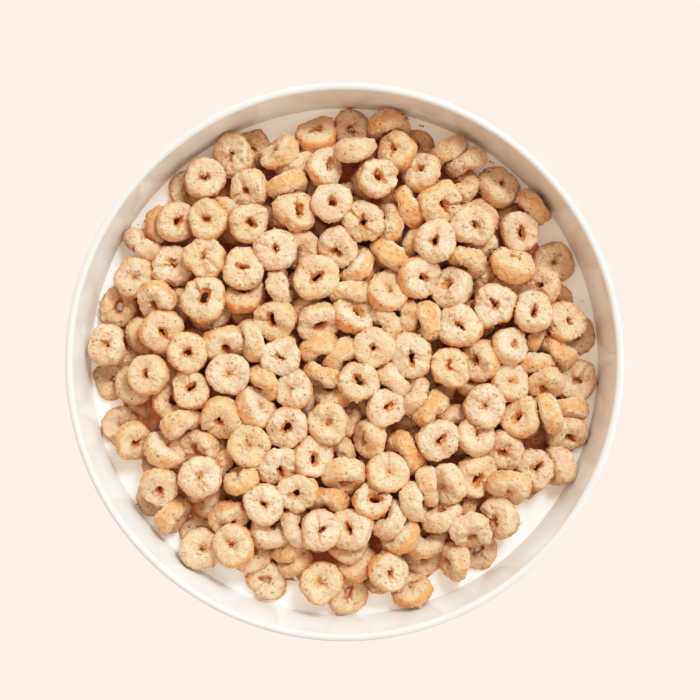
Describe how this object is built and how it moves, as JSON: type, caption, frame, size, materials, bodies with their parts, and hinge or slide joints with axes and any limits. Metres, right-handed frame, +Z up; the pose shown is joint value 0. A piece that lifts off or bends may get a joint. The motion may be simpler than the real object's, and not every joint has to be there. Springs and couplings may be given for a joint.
{
  "type": "bowl of cereal",
  "caption": "Round straight-sided white bowl of milk with a heap of small ring-shaped cereal floating on it.",
  "frame": {"origin": "middle of the foot ring, on the table", "axes": "+Z up out of the bowl; +X to the right and +Y up the picture as seen from straight above"},
  "size_m": [0.17, 0.17, 0.05],
  "materials": {
    "porcelain": "glossy white glaze",
    "milk": "smooth opaque liquid",
    "cereal": "matt, puffed and finely speckled"
  },
  "bodies": {
    "root": {"bowl": "porcelain", "milk": "milk", "cereal_heap": "cereal"}
  },
  "joints": []
}
